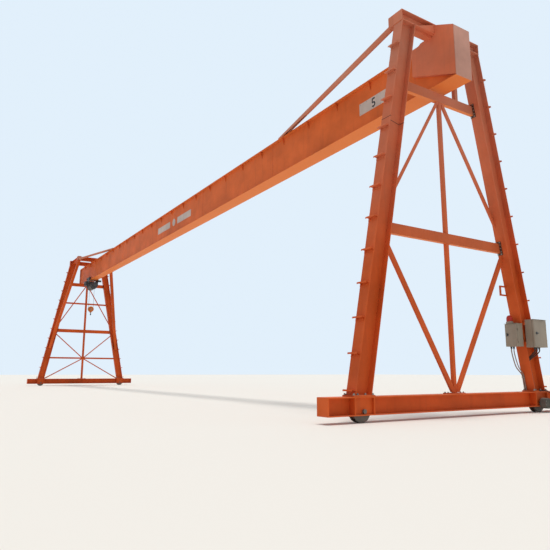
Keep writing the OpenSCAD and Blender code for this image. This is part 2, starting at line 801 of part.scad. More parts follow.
// Door of a cabinet with the knuckles that turn on the pins
module cabinet_door(w, d, h) {
    color(cabinet_grey) translate([d - door_t, 0, 0]) {
        cube([door_t, w, h - canopy_t - door_gap]);
        for (z = [h * 0.15, h * 0.85 - 2 * hinge_h])
            translate([-door_gap, w + hinge_out, z + hinge_h + 1]) difference() {
                union() {
                    cylinder(d = hinge_dia, h = hinge_h - 1);
                    translate([door_gap, -hinge_out - 1, 0])
                        cube([door_t - door_gap, hinge_out + 1, hinge_h - 1]);
                    translate([0, -hinge_dia / 4, 0]) cube([door_gap + 1, hinge_dia / 2, hinge_h - 1]);
                }
                translate([0, 0, -1]) cylinder(d = hinge_pin_dia + 1, h = hinge_h + 1);
            }
    }
}
module left_cabinet() {
    left_cabinet_place() cabinet_body(left_cabinet_w, left_cabinet_d, left_cabinet_h);
}
module left_cabinet_door() {
    left_cabinet_place() cabinet_door(left_cabinet_w, left_cabinet_d, left_cabinet_h);
}
module right_cabinet() {
    right_cabinet_place() cabinet_body(right_cabinet_w, right_cabinet_d, right_cabinet_h);
}
module right_cabinet_door() {
    right_cabinet_place() cabinet_door(right_cabinet_w, right_cabinet_d, right_cabinet_h);
}

// Rails behind the cabinets that carry them on the right leg
module cabinet_brackets() {
    rail_h = 40;
    rail_l = left_cabinet_w - 2 * canopy_t - 20;
    color(frame_orange) {
        for (z = [left_cabinet_low + 50, left_cabinet_top - 50 - rail_h])
            inside_legs(near_x, leg_w, z, z + rail_h)
                translate([near_x - rail_l / 2, left_cabinet_y + seat, z])
                    cube([rail_l, foot_spacing / 2, rail_h]);
        for (z = [right_cabinet_low + 50, right_cabinet_low + right_cabinet_h - 50 - rail_h])
            translate([near_x + leg_w / 2 + seat, right_cabinet_y, z])
                cube([rail_t - 2 * seat, right_cabinet_w, rail_h]);
    }
}

// Bow of small bars on the right leg, above the left cabinet, that holds the supply cable
module collector_bracket() {
    bar = 25;
    low = left_cabinet_top + 495;
    high = low + 180;
    out_y = leg_y(high) - leg_half() - 150;
    color(frame_orange) inside_legs(near_x, leg_w, low, high)
        translate([0, out_y, low]) along_x(near_x - leg_w / 2, bar)
            difference() {
                square([foot_spacing, high - low]);
                translate([bar, bar]) square([foot_spacing, high - low - 2 * bar]);
            }
}

// Warning lamp on the left cabinet
module beacon() {
    base_dia = 120;
    lamp_dia = 100;
    translate([near_x - 50, left_cabinet_y - left_cabinet_d * 0.65, left_cabinet_top + seat])
        color("firebrick") {
            cylinder(d = base_dia, h = 30);
            cylinder(d = lamp_dia, h = 100);
            translate([0, 0, 100]) intersection() {
                sphere(d = lamp_dia);
                cylinder(d = lamp_dia, h = lamp_dia);
            }
        }
}

near_sill();
near_left_leg();
near_right_leg();
near_saddle_beam();
near_wide_ties();
near_center_post();
near_braces();
far_sill();
far_left_leg();
far_right_leg();
far_inner_struts();
far_saddle_beams();
far_saddle_sides();
far_ties();
far_center_post();
far_braces();
leg_steps();
girder_webs();
girder_top_flange();
girder_bottom_flange();
girder_end_plates();
girder_gussets();
girder_stays();
stay_brackets();
web_plates();
near_left_wheel();
near_right_wheel();
far_left_wheel();
far_right_wheel();
travel_gear_cases();
travel_motors();
hoist_trolley();
hoist_drum();
hoist_motor();
hoist_gearbox();
rope();
hook_block();
hook();
left_cabinet();
left_cabinet_door();
right_cabinet();
right_cabinet_door();
cabinet_brackets();
collector_bracket();
beacon();
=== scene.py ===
"""Looks of a rail mounted single girder gantry crane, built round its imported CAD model.

All sizes are metres in the frame of the CAD: X along the girder, Y along the rails, Z up.
"""

import json
import math

import bpy
from mathutils import Matrix, Vector


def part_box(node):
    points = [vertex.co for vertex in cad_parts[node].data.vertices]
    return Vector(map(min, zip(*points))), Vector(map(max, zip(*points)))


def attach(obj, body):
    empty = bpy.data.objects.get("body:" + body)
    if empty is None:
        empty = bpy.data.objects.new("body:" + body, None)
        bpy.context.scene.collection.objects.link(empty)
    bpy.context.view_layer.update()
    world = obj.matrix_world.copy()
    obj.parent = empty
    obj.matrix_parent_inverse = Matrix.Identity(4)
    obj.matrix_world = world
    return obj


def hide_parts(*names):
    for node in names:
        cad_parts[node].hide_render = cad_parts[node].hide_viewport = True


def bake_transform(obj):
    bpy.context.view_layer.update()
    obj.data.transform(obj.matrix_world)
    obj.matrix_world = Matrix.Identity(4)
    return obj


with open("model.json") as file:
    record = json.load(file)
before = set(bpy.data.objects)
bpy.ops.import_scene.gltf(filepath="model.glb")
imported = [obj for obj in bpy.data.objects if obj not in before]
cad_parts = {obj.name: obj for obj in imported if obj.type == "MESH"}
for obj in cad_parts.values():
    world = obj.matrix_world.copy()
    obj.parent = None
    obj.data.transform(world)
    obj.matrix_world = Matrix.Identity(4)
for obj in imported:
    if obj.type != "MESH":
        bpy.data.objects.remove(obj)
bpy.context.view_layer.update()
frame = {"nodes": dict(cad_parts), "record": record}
NODES = frame["nodes"]

# Places read from the frame
near_leg_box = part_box("near_left_leg")
far_leg_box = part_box("far_left_leg")
NEAR_X = (near_leg_box[0].x + near_leg_box[1].x) / 2
FAR_X = (far_leg_box[0].x + far_leg_box[1].x) / 2
SILL_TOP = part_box("near_sill")[1].z
GIRDER_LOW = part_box("girder_bottom_flange")[0].z
GIRDER_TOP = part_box("girder_top_flange")[1].z
WEB_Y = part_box("girder_webs")[1].y
FLANGE_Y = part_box("girder_top_flange")[1].y
SADDLE_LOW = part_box("far_saddle_sides")[0].z

# The legs' H section, how far their feet and heads stand from the middle plane, and how they lean
LEG_W = 0.200
LEG_D = 0.294
LEG_HALF = LEG_D / 2
LEG_FLANGE_T = 0.012
LEG_WEB_T = 0.008
FOOT_Y = 2.0375
HEAD_Y = 0.8175
LEAN = math.atan2(FOOT_Y - HEAD_Y, SADDLE_LOW - SILL_TOP)


def leg_y(z):
    """Distance of a leg's axis from the middle plane at a height."""
    return FOOT_Y - (z - SILL_TOP) * math.tan(LEAN)


# ---------------------------------------------------------------- materials


def new_material(name):
    """New material with its nodes and links."""
    material = bpy.data.materials.new(name)
    material.use_nodes = True
    return material, material.node_tree.nodes, material.node_tree.links


def noise(nodes, links, coords, scale, detail=6.0, roughness=0.6, stretch=None):
    """Noise in the piece's own coordinates, stretched where a scale for each axis is given."""
    texture = nodes.new("ShaderNodeTexNoise")
    texture.inputs["Scale"].default_value = scale
    texture.inputs["Detail"].default_value = detail
    texture.inputs["Roughness"].default_value = roughness
    if stretch:
        mapping = nodes.new("ShaderNodeMapping")
        mapping.inputs["Scale"].default_value = stretch
        links.new(coords, mapping.inputs["Vector"])
        coords = mapping.outputs["Vector"]
    links.new(coords, texture.inputs["Vector"])
    return texture.outputs["Fac"]


def ramp(nodes, links, value, low, high, a=0.0, b=1.0):
    """Maps value from low..high to a..b and clamps it."""
    node = nodes.new("ShaderNodeMapRange")
    node.inputs["From Min"].default_value = low
    node.inputs["From Max"].default_value = high
    node.inputs["To Min"].default_value = a
    node.inputs["To Max"].default_value = b
    links.new(value, node.inputs["Value"])
    return node.outputs["Result"]


def mix(nodes, links, factor, a, b):
    """Mixes two colours; each is a colour tuple or a socket."""
    node = nodes.new("ShaderNodeMix")
    node.data_type = "RGBA"
    for socket, value in (("Factor", factor), ("A", a), ("B", b)):
        target = [s for s in node.inputs if s.name == socket and s.enabled][0]
        if isinstance(value, bpy.types.NodeSocket):
            links.new(value, target)
        elif isinstance(value, (int, float)):
            target.default_value = value
        else:
            target.default_value = (*value, 1.0)
    return [s for s in node.outputs if s.enabled][0]


def compute(nodes, links, operation, *values):
    """Math node over numbers and sockets."""
    node = nodes.new("ShaderNodeMath")
    node.operation = operation
    for socket, value in zip(node.inputs, values):
        if isinstance(value, (int, float)):
            socket.default_value = value
        else:
            links.new(value, socket)
    return node.outputs["Value"]


DUST_TONE = (0.42, 0.33, 0.25)
CHIP_TONE = (0.10, 0.045, 0.022)
# Heights where the pale tone of sun-faded chalk and painted sky glare begins and is full
CHALK_GLARE_FROM, CHALK_GLARE_FULL = 2.2, 6.6
DUST_LOW, DUST_TOP = 0.05, 0.75
PEEL_DEPTH, DENT_DEPTH = 0.0006, 0.004


def painted(name, colour, rough=0.42, dust=0.25, grime=0.3, metallic=0.0, spots=0.0, bounce_lit=None,
            chalk_and_glare=None, specular=0.3, splash=0.55, ends_only=False):
    """Paint on steel: patches, streaks, chips, dust on tops and near the ground, orange peel.

    The tone given for undersides is painted bounce light, a brighter orange as if lit from the
    floor; the tone given for high up is partly sun-faded chalk and partly painted sky glare (with
    ends_only mostly away from the middle plane); splash is the share of dust near the ground.
    """
    material, nodes, links = new_material(name)
    shader = nodes["Principled BSDF"]
    geometry = nodes.new("ShaderNodeNewGeometry")
    coords = nodes.new("ShaderNodeTexCoord").outputs["Object"]
    split = nodes.new("ShaderNodeSeparateXYZ")
    links.new(coords, split.inputs["Vector"])
    height = split.outputs["Z"]

    # Patchy tone with streaks down it
    patches = noise(nodes, links, coords, 1.3, 5)
    darker = tuple(c * 0.80 for c in colour)
    paler = tuple(min(1.0, c * 1.12 + 0.006) for c in colour)
    tone = mix(nodes, links, ramp(nodes, links, patches, 0.3, 0.7), darker, paler)
    streaks = noise(nodes, links, coords, 1.0, 4, stretch=(9.0, 9.0, 0.6))
    streak_share = ramp(nodes, links, streaks, 0.55, 0.80, 0.0, grime)
    tone = mix(nodes, links, streak_share, tone, tuple(c * 0.45 + 0.01 for c in colour))

    # Pale tone high up, partly sun-faded chalk and partly painted sky glare, then chips in clusters
    if chalk_and_glare:
        high_up = ramp(nodes, links, height, CHALK_GLARE_FROM, CHALK_GLARE_FULL, 0.0, 0.85)
        if ends_only:
            off_middle = compute(nodes, links, "ABSOLUTE", split.outputs["Y"])
            near_end = ramp(nodes, links, off_middle, 0.30, 0.75, 0.50, 1.0)
            high_up = compute(nodes, links, "MULTIPLY", high_up, near_end)
        cloudy = ramp(nodes, links, noise(nodes, links, coords, 0.9, 4), 0.3, 0.7, 0.5, 1.0)
        fade_and_glare = compute(nodes, links, "MULTIPLY", high_up, cloudy)
        tone = mix(nodes, links, fade_and_glare, tone, chalk_and_glare)
    if spots:
        chips = ramp(nodes, links, noise(nodes, links, coords, 55.0, 3, 0.5), 0.66, 0.69)
        clusters = ramp(nodes, links, noise(nodes, links, coords, 2.4, 3), 0.52, 0.66, 0.0, spots)
        share = compute(nodes, links, "MULTIPLY", chips, clusters)
        tone = mix(nodes, links, share, tone, CHIP_TONE)

    # Painted bounce light: a brighter tone on undersides; dust on top and near the ground
    facing = nodes.new("ShaderNodeSeparateXYZ")
    links.new(geometry.outputs["Normal"], facing.inputs["Vector"])
    if bounce_lit:
        under = ramp(nodes, links, facing.outputs["Z"], -0.5, -0.9, 0.0, 0.85)
        tone = mix(nodes, links, under, tone, bounce_lit)
    upward = ramp(nodes, links, facing.outputs["Z"], 0.55, 0.95)
    cloud = ramp(nodes, links, noise(nodes, links, coords, 6.0, 8), 0.35, 0.65, 0.35, 1.0)
    near_ground = ramp(nodes, links, height, DUST_TOP, DUST_LOW, 0.0, splash)
    settled = compute(nodes, links, "MAXIMUM", upward, near_ground)
    clouded = compute(nodes, links, "MULTIPLY", settled, cloud)
    dusty = compute(nodes, links, "MULTIPLY", clouded, dust)
    tone = mix(nodes, links, dusty, tone, DUST_TONE)
    links.new(tone, shader.inputs["Base Color"])

    # Uneven gloss, dull where dust lies
    fine = noise(nodes, links, coords, 40.0, 4)
    sheen = ramp(nodes, links, fine, 0.3, 0.7, rough - 0.05, rough + 0.07)
    dulled = compute(nodes, links, "MULTIPLY", dusty, 0.9)
    links.new(compute(nodes, links, "ADD", sheen, dulled), shader.inputs["Roughness"])
    shader.inputs["Metallic"].default_value = metallic
    shader.inputs["Specular IOR Level"].default_value = specular

    # Orange peel over shallow dents
    peel = nodes.new("ShaderNodeBump")
    peel.inputs["Strength"].default_value = 0.35
    peel.inputs["Distance"].default_value = PEEL_DEPTH
    links.new(noise(nodes, links, coords, 180.0, 3), peel.inputs["Height"])
    dents = nodes.new("ShaderNodeBump")
    dents.inputs["Strength"].default_value = 0.25
    dents.inputs["Distance"].default_value = DENT_DEPTH
    links.new(noise(nodes, links, coords, 2.2, 2), dents.inputs["Height"])
    links.new(peel.outputs["Normal"], dents.inputs["Normal"])
    links.new(dents.outputs["Normal"], shader.inputs["Normal"])
    return material


ORANGE = (0.660, 0.110, 0.021)
# Painted bounce light: the brighter orange given to undersides
BOUNCE_LIT_ORANGE = (0.80, 0.225, 0.055)
# Pale tone high up: partly sun-faded chalk, partly painted sky glare
CHALK_AND_GLARE = (0.54, 0.265, 0.185)
orange = painted("orange_paint", ORANGE, rough=0.5, spots=0.35, chalk_and_glare=CHALK_AND_GLARE, specular=0.12,
                 splash=0.15)
tie_orange = painted("tie_paint", (0.590, 0.108, 0.024), rough=0.5, spots=0.35, bounce_lit=BOUNCE_LIT_ORANGE,
                     chalk_and_glare=CHALK_AND_GLARE, specular=0.12)
far_orange = painted("far_frame_paint", (0.650, 0.104, 0.018), rough=0.5, spots=0.3, specular=0.08,
                     splash=0.15)
sill_orange = painted("sill_paint", (0.710, 0.116, 0.017), rough=0.5, spots=0.35, specular=0.12,
                      splash=0.15)
girder_orange = painted("girder_paint", (0.725, 0.145, 0.032), rough=0.5, spots=0.3,
                        bounce_lit=BOUNCE_LIT_ORANGE, specular=0.10)
# Painted light: a brighter copy of the orange for the near saddle and its knees, lifting the shade
# they lie in
lit_haunch_orange = painted("lit_haunch_paint", (0.800, 0.170, 0.060), rough=0.5, spots=0.3, chalk_and_glare=CHALK_AND_GLARE,
                        specular=0.12, ends_only=True)
conduit = painted("pale_conduit", (0.34, 0.25, 0.21), rough=0.5, grime=0.5)
# Dark tone: the joint line of the leg splice, and painted shade on the tie end plates
joint_dark_and_shade = painted("joint_dark_and_shade_paint", (0.085, 0.032, 0.020), rough=0.5, grime=0.3)
# Painted sky glare: a pale pinkish tone on the girder's end plates
glare_end = painted("glare_end_paint", (0.60, 0.300, 0.222), rough=0.5, spots=0.2, grime=0.2)
hook_orange = painted("hook_block_paint", (0.60, 0.15, 0.012), dust=0.15, grime=0.6, spots=0.6)
pale_grey = painted("pale_grey_paint", (0.335, 0.278, 0.214), rough=0.45, dust=0.4, grime=0.25)
plate_white = painted("plate_white", (0.60, 0.49, 0.435), rough=0.5, dust=0.3, grime=0.35)
machine = painted("machine_paint", (0.055, 0.060, 0.065), dust=0.35, grime=0.2)
drive_grey = painted("drive_paint", (0.085, 0.105, 0.100), rough=0.45, dust=0.55, grime=0.3)
worn_steel = painted("worn_steel", (0.13, 0.115, 0.10), dust=0.35, metallic=0.7)
rope_steel = painted("rope_steel", (0.16, 0.15, 0.14), rough=0.45, dust=0.1, metallic=0.8)
zinc = painted("zinc_bolts", (0.30, 0.28, 0.25), rough=0.38, dust=0.3, metallic=0.85)
black_rubber = painted("black_rubber", (0.014, 0.014, 0.015), rough=0.55, dust=0.25)
sprayed_cable = painted("sprayed_cable", (0.050, 0.022, 0.016), rough=0.55, dust=0.25)
black_ink = painted("black_ink", (0.012, 0.014, 0.018), rough=0.5, dust=0.1)
red_lens = painted("red_lens", (0.50, 0.022, 0.008), rough=0.16, dust=0.1)
weld_metal = painted("weld_paint", (0.50, 0.075, 0.014), rough=0.5, grime=0.6, spots=0.6,
                     bounce_lit=BOUNCE_LIT_ORANGE)

# What each CAD node wears: by its slot, unless it is one of the special ones
BY_SLOT = {
    "orange_paint": orange,
    "pale_grey_paint": pale_grey,
    "machine_paint": machine,
    "wheel_steel": worn_steel,
    "rope_steel": rope_steel,
    "beacon_lens": red_lens,
}
SPECIAL = {
    # Painted light: the near saddle wears the brighter orange
    "near_saddle_beam": lit_haunch_orange,
    "near_sill": sill_orange,
    "near_wide_ties": tie_orange,
    "far_ties": far_orange,
    "girder_webs": girder_orange,
    "girder_top_flange": girder_orange,
    "girder_bottom_flange": girder_orange,
    "girder_gussets": girder_orange,
    # Painted sky glare on the girder's end plates
    "girder_end_plates": glare_end,
    "travel_gear_cases": drive_grey,
    "travel_motors": drive_grey,
    "hook_block": hook_orange,
    "web_plates": plate_white,
}
for part in frame["record"]["subparts"]:
    node = NODES[part["node"]]
    material = SPECIAL.get(part["node"], BY_SLOT[part["material_slot"]])
    if material is orange and part["node"].startswith("far_"):
        material = far_orange
    node.data.materials.clear()
    node.data.materials.append(material)


# ------------------------------------------------------------ mesh building


class Shape:
    """Vertices and faces of one piece, gathered from simple closed forms."""

    def __init__(self):
        self.points = []
        self.faces = []

    def add(self, points, faces, matrix=None):
        """Takes in one closed form, put in its place by a matrix."""
        start = len(self.points)
        for p in points:
            p = Vector(p)
            self.points.append(matrix @ p if matrix else p)
        self.faces += [tuple(start + i for i in face) for face in faces]

    def box(self, low, high, matrix=None):
        """Box between two opposite corners."""
        x0, y0, z0 = low
        x1, y1, z1 = high
        points = [(x0, y0, z0), (x1, y0, z0), (x1, y1, z0), (x0, y1, z0),
                  (x0, y0, z1), (x1, y0, z1), (x1, y1, z1), (x0, y1, z1)]
        faces = [(3, 2, 1, 0), (4, 5, 6, 7), (0, 1, 5, 4), (1, 2, 6, 5), (2, 3, 7, 6),
                 (3, 0, 4, 7)]
        self.add(points, faces, matrix)

    def prism(self, outline, length, matrix=None):
        """Outline in X and Y, counter-clockwise, carried along +Z."""
        n = len(outline)
        points = [(x, y, 0) for x, y in outline] + [(x, y, length) for x, y in outline]
        faces = [tuple(reversed(range(n))), tuple(range(n, 2 * n))]
        faces += [(i, (i + 1) % n, n + (i + 1) % n, n + i) for i in range(n)]
        self.add(points, faces, matrix)

    def lathe(self, profile, sides, matrix=None):
        """Profile of (radius, height) pairs from the bottom up, turned about Z and closed."""
        points = [(radius * math.cos(a), radius * math.sin(a), height)
                  for radius, height in profile for a in round_turn(sides)]
        self.rings(points, sides, matrix)

    def rings(self, points, sides, matrix=None):
        """Skin over rings of points, closed at both ends."""
        faces = []
        for start in range(0, len(points) - sides, sides):
            for i in range(sides):
                j = (i + 1) % sides
                faces.append((start + i, start + j, start + sides + j, start + sides + i))
        faces.append(tuple(reversed(range(sides))))
        faces.append(tuple(range(len(points) - sides, len(points))))
        self.add(points, faces, matrix)

    def tube(self, path, radius, sides):
        """Round bar along a path of points; radius is one number, or one for each point."""
        path = [Vector(p) for p in path]
        radii = radius if isinstance(radius, list) else [radius] * len(path)
        side = None
        points = []
        for i, p in enumerate(path):
            ahead = (path[min(i + 1, len(path) - 1)] - path[max(i - 1, 0)]).normalized()
            if side is None:
                side = ahead.orthogonal().normalized()
            side = (side - ahead * side.dot(ahead)).normalized()
            across = ahead.cross(side)
            points += [p + radii[i] * (math.cos(a) * side + math.sin(a) * across)
                       for a in round_turn(sides)]
        self.rings(points, sides)

    def bolt(self, at, normal, size):
        """Hexagon head on a washer; size is the thread's diameter."""
        matrix = look_along(at, normal)
        head = size * 0.85
        self.lathe([(size * 1.05, 0), (size * 1.05, size * 0.15)], 14, matrix)
        self.lathe([(head, size * 0.1), (head, size * 0.72), (head * 0.86, size * 0.80)], 6, matrix)

    def nut(self, at, normal, size):
        """Nut on a washer with the bolt's end standing out of it."""
        matrix = look_along(at, normal)
        thread = size * 0.48
        self.lathe([(size * 1.05, 0), (size * 1.05, size * 0.15)], 14, matrix)
        self.lathe([(size * 0.85, size * 0.1), (size * 0.85, size * 0.9)], 6, matrix)
        self.lathe([(thread, size * 0.5), (thread, size * 1.25), (size * 0.40, size * 1.35)],
                   10, matrix)

    def weld(self, start, end, radius, ripple):
        """Bead of weld along a straight seam, with every second ring a little thinner."""
        start, end = Vector(start), Vector(end)
        length = (end - start).length
        count = max(2, int(length / ripple))
        radii = [radius * (0.84 if i % 2 else 1.0) for i in range(count + 1)]
        self.tube([start.lerp(end, i / count) for i in range(count + 1)], radii, 6)

    def piece(self, name, material, body="root", slot=None, smooth=False, bevel=0.0):
        """Makes the object, gives it its material and lets it ride on its body, if it has one."""
        mesh = bpy.data.meshes.new(name)
        mesh.from_pydata(self.points, [], self.faces)
        mesh.validate()
        mesh.materials.append(material)
        if smooth:
            mesh.polygons.foreach_set("use_smooth", [True] * len(mesh.polygons))
            mesh.set_sharp_from_angle(angle=math.radians(35))
        obj = bpy.data.objects.new(name, mesh)
        bpy.context.scene.collection.objects.link(obj)
        if bevel:
            soften(obj, bevel)
        if body:
            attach(obj, body)
        return obj


def soften(obj, width):
    """Rounds an object's sharp edges."""
    soft = obj.modifiers.new("edges", "BEVEL")
    soft.width = width
    soft.segments = 2
    soft.limit_method = "ANGLE"


def look_along(at, normal):
    """Matrix that puts local Z along normal at a point."""
    turn = Vector(normal).normalized().to_track_quat("Z", "Y").to_matrix().to_4x4()
    return Matrix.Translation(Vector(at)) @ turn


def leg_matrix(x, side):
    """Plane of one leg: local Z up the leg from the sill's top, local Y across its depth."""
    return Matrix.Translation((x, side * FOOT_Y, SILL_TOP)) @ Matrix.Rotation(side * LEAN, 4, "X")


# Each frame's place, with the way that its outer side faces
FRAMES = ((NEAR_X, 1), (FAR_X, -1))
SIDES = (-1, 1)
UP = (0, 0, 1)
CLEAR = 0.0008  # keeps a thin plate off the face that it lies on


def round_turn(count):
    """Angles of count equal steps round a full turn."""
    return [2 * math.pi * k / count for k in range(count)]


def four_corners(dx, dy):
    """Offsets of a rectangle's corners from its middle."""
    return [(sx * dx, sy * dy) for sx in SIDES for sy in SIDES]


def up_leg(z, across=-LEG_HALF):
    """How far up the leg's own axis a point at height z lies; across is outward from the axis."""
    return (z - SILL_TOP - across * math.sin(LEAN)) / math.cos(LEAN)


def off_leg(x, side, dx, across, along):
    """Point by its place in a leg's plane: across is outward from the leg's axis."""
    return leg_matrix(x, side) @ Vector((dx, side * across, along))


def across_leg(side, out=1):
    """Direction straight out of a leg's flange."""
    return Matrix.Rotation(side * LEAN, 3, "X") @ Vector((0, side * out, 0))


# ------------------------------------------------------- legs, sills and ties

FIRST_STEP, STEP_PITCH, STEP_COUNT = 0.050, 0.516, 12
CLEAT_T, CLEAT_HALF, CLEAT_BOLT_X, CLEAT_BOLT = 0.006, 0.098, 0.066, 0.016
FOOT_TOP = SILL_TOP + 0.021
FOOT_BOLT = 0.020

cleats, cleat_bolts = Shape(), Shape()
for x, _ in FRAMES:
    for side in SIDES:
        plane = leg_matrix(x, side)
        for i in range(1, STEP_COUNT):
            under = FIRST_STEP + i * STEP_PITCH
            inner, outer = sorted(side * (LEG_HALF + CLEAR + t) for t in (0, CLEAT_T))
            cleats.box((-CLEAT_HALF, inner, under - 0.048), (CLEAT_HALF, outer, under + 0.002),
                       plane)
            for dx in (-CLEAT_BOLT_X, CLEAT_BOLT_X):
                cleat_bolts.bolt(off_leg(x, side, dx, LEG_HALF + 0.0066, under - 0.026),
                                 across_leg(side), CLEAT_BOLT)
                cleat_bolts.nut(off_leg(x, side, dx, LEG_HALF - LEG_FLANGE_T, under - 0.026),
                                across_leg(side, -1), CLEAT_BOLT)
cleats.piece("step_cleats", orange, slot="orange_paint", bevel=0.0012)
cleat_bolts.piece("step_bolts", orange, slot="orange_paint")

foot_bolts, foot_welds = Shape(), Shape()
for x, _ in FRAMES:
    for side in SIDES:
        for dx, dy in four_corners(0.096, 0.170) + four_corners(0.055, 0.070):
            foot_bolts.nut((x + dx, side * FOOT_Y + dy, FOOT_TOP), UP, FOOT_BOLT)
        for face in (-LEG_HALF, -LEG_HALF + LEG_FLANGE_T, LEG_HALF - LEG_FLANGE_T, LEG_HALF):
            y = side * (leg_y(FOOT_TOP) + face / math.cos(LEAN))
            foot_welds.weld((x - LEG_W / 2, y, FOOT_TOP), (x + LEG_W / 2, y, FOOT_TOP),
                            0.008, 0.012)
        for dx in (-LEG_WEB_T / 2, LEG_WEB_T / 2):
            y = side * leg_y(FOOT_TOP)
            foot_welds.weld((x + dx, y - 0.13, FOOT_TOP), (x + dx, y + 0.13, FOOT_TOP),
                            0.007, 0.012)
foot_bolts.piece("foot_bolts", zinc)
foot_welds.piece("foot_welds", weld_metal, smooth=True)

# Welded splice across the near left leg below its head
splice = Shape()
SPLICE_AT = up_leg(4.62, 0.0)
wide, thin = LEG_W / 2, LEG_WEB_T / 2
edge, inset = LEG_HALF, LEG_HALF - LEG_FLANGE_T
section = ((-wide, -edge), (wide, -edge), (wide, -inset), (thin, -inset), (thin, inset),
           (wide, inset), (wide, edge), (-wide, edge), (-wide, inset), (-thin, inset),
           (-thin, -inset), (-wide, -inset))
for (x0, a0), (x1, a1) in zip(section, section[1:] + section[:1]):
    splice.weld(off_leg(NEAR_X, -1, x0, a0, SPLICE_AT), off_leg(NEAR_X, -1, x1, a1, SPLICE_AT),
                0.005, 0.010)
splice.piece("leg_splice", joint_dark_and_shade, slot="orange_paint", smooth=True)

# Welds of the legs' heads under the saddles, and the nuts inside the saddles above them
HEAD_WELD_Z = SADDLE_LOW - 0.003
SADDLE_END_Y = 0.97
NUT_FLOOR = SADDLE_LOW + LEG_FLANGE_T
SADDLE_BOLT = 0.018
head_welds, head_bolts = Shape(), Shape()
for x, _ in FRAMES:
    for side in SIDES:
        for face in (-LEG_HALF, LEG_HALF):
            y = side * (leg_y(HEAD_WELD_Z) + face / math.cos(LEAN))
            if abs(y) < SADDLE_END_Y:
                head_welds.weld((x - LEG_W / 2, y, HEAD_WELD_Z), (x + LEG_W / 2, y, HEAD_WELD_Z),
                                0.007, 0.012)
        for dx in (-0.062, 0.062):
            for dy in (-0.080, 0.060):
                head_bolts.nut((x + dx, side * HEAD_Y + dy, NUT_FLOOR), UP, SADDLE_BOLT)
head_welds.piece("head_welds", weld_metal, smooth=True)
head_bolts.piece("head_bolts", zinc)

# End plates that join the wide ties to the legs' inner flanges, dark as painted shade where the
# ties meet the legs
TIE_X = {NEAR_X: NEAR_X - 0.070, FAR_X: FAR_X}
MIDDLE_TIE, TOP_TIE = (2.780, 2.950), (5.290, 5.460)
END_PLATE_T, TIE_BOLT = 0.012, 0.014
plate_face = -LEG_HALF - CLEAR - END_PLATE_T
end_plates, end_bolts = Shape(), Shape()
for x, _ in FRAMES:
    for side in SIDES:
        plane = leg_matrix(x, side)
        for low_z, high_z in (MIDDLE_TIE, TOP_TIE):
            middle = TIE_X[x] - x
            left, right = max(middle - 0.058, -0.099), middle + 0.072
            low_s, high_s = up_leg(low_z) - 0.036, up_leg(high_z) + 0.036
            inner, outer = sorted(-side * (LEG_HALF + CLEAR + t) for t in (0, END_PLATE_T))
            end_plates.box((left, inner, low_s), (right, outer, high_s), plane)
            bolts = [(dx, along) for along in (low_s + 0.017, high_s - 0.017)
                     for dx in (left + 0.02, right - 0.018)]
            bolts += [(right - 0.018, along)
                      for along in (low_s + 0.065, (low_s + high_s) / 2, high_s - 0.065)]
            for dx, along in bolts:
                end_bolts.bolt(off_leg(x, side, dx, plate_face, along), across_leg(side, -1),
                               TIE_BOLT)
end_plates.piece("tie_end_plates", joint_dark_and_shade, slot="orange_paint", bevel=0.001)
end_bolts.piece("tie_bolts", zinc)

# Foot plates of the posts, and welds round the posts where they meet the ties
post_feet, post_bolts, post_welds = Shape(), Shape(), Shape()
POST_FOOT_TOP = SILL_TOP + 0.0125
for x, width in ((TIE_X[NEAR_X], 0.060), (TIE_X[FAR_X], 0.090)):
    half = width / 2
    post_feet.box((x - 0.052, -0.205, SILL_TOP + 0.0005), (x + 0.052, 0.205, POST_FOOT_TOP))
    for dx, dy in four_corners(0.030, 0.180):
        post_bolts.nut((x + dx, dy, POST_FOOT_TOP), UP, 0.014)
    for z in (MIDDLE_TIE[0] - 0.001, MIDDLE_TIE[1] + 0.001, TOP_TIE[0] - 0.001,
              POST_FOOT_TOP + 0.001):
        for y in (-half, half):
            post_welds.weld((x - half, y, z), (x + half, y, z), 0.004, 0.010)
        for dx in (-half, half):
            post_welds.weld((x + dx, -half, z), (x + dx, half, z), 0.004, 0.010)
post_feet.piece("post_foot_plates", orange, slot="orange_paint", bevel=0.001)
post_bolts.piece("post_bolts", zinc)
post_welds.piece("post_welds", weld_metal, smooth=True)

# Caps over the axles' ends on the wheel boxes, but not where the right wheels' drives stand
caps = Shape()
BOX_SIDE, AXLE_Z = 0.081, 0.155
for x, drive_side in FRAMES:
    for side in SIDES:
        for out in SIDES:
            if side < 0 or out != drive_side:
                at = (x + out * (BOX_SIDE + 0.0005), side * FOOT_Y, AXLE_Z)
                caps.lathe([(0.036, 0.0), (0.036, 0.008), (0.031, 0.012), (0.014, 0.0125)], 36,
                           look_along(at, (out, 0, 0)))
caps.piece("axle_caps", orange, slot="orange_paint", smooth=True)


# --------------------------------------------------------- girder and saddles

WEB_END, END_PLATE_FACE = 13.13, 13.138
GIRDER_FLANGE_T = 0.016
BUTT_SEAMS = (-9.45, -5.25, -1.05, 3.15, 7.35)
FIRST_GUSSET, GUSSET_PITCH, GUSSET_COUNT = -12.075, 1.05, 24

